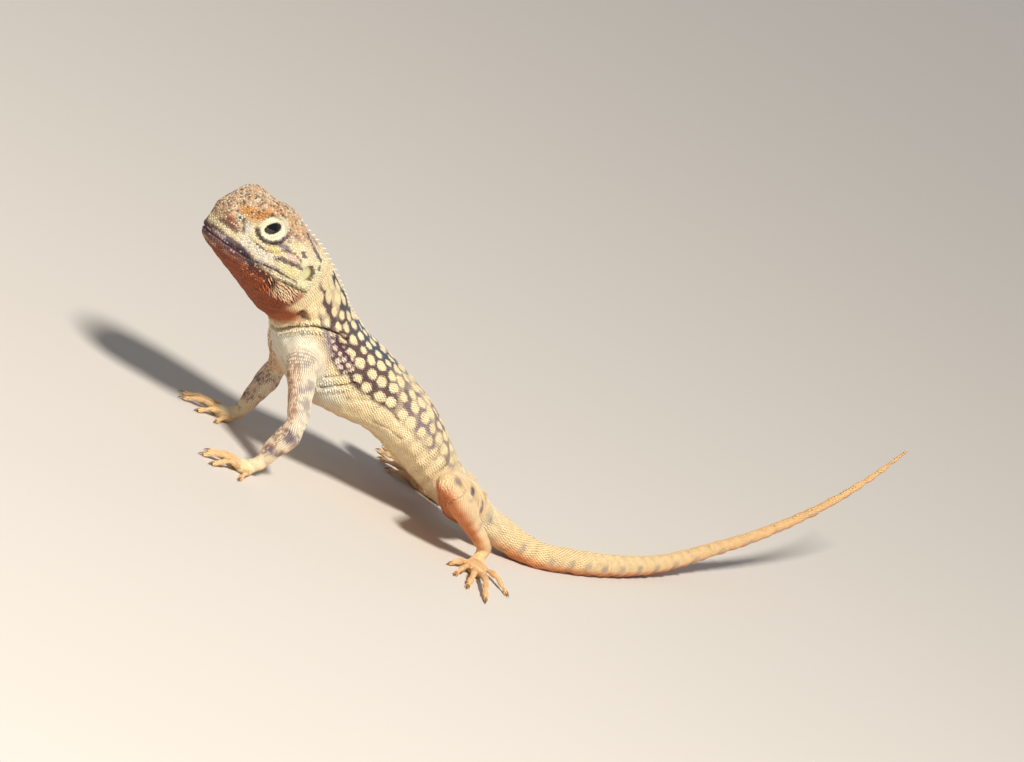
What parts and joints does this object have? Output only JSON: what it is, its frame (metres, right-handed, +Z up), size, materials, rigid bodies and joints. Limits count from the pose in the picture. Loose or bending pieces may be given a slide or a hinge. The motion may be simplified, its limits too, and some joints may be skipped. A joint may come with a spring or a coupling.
{
  "type": "central netted dragon lizard",
  "caption": "Life-size still lizard standing alert on four feet, with the head high, short nuchal crest and long curved tail.",
  "frame": {"origin": "middle of the bounding box, on the floor that the feet, palms and tail rest on", "axes": "+X from the snout towards the tail, +Y towards the animal's right side, +Z up"},
  "size_m": [0.197, 0.0968, 0.0455],
  "materials": {
    "skin": "dry matte granular scales",
    "limb_skin": "dry matte keeled scales",
    "tail_skin": "dry matte keeled scales",
    "eye": "wet gloss"
  },
  "bodies": {
    "root": {"head": "skin", "eye_left": "eye", "eye_right": "eye", "neck": "skin", "torso": "skin", "tail_base": "tail_skin", "tail_middle": "tail_skin", "tail_end": "tail_skin", "upper_arm_left": "limb_skin", "forearm_left": "limb_skin", "hand_left": "limb_skin", "upper_arm_right": "limb_skin", "forearm_right": "limb_skin", "hand_right": "limb_skin", "thigh_left": "limb_skin", "shin_left": "limb_skin", "foot_left": "limb_skin", "thigh_right": "limb_skin", "shin_right": "limb_skin", "foot_right": "limb_skin"}
  },
  "joints": []
}
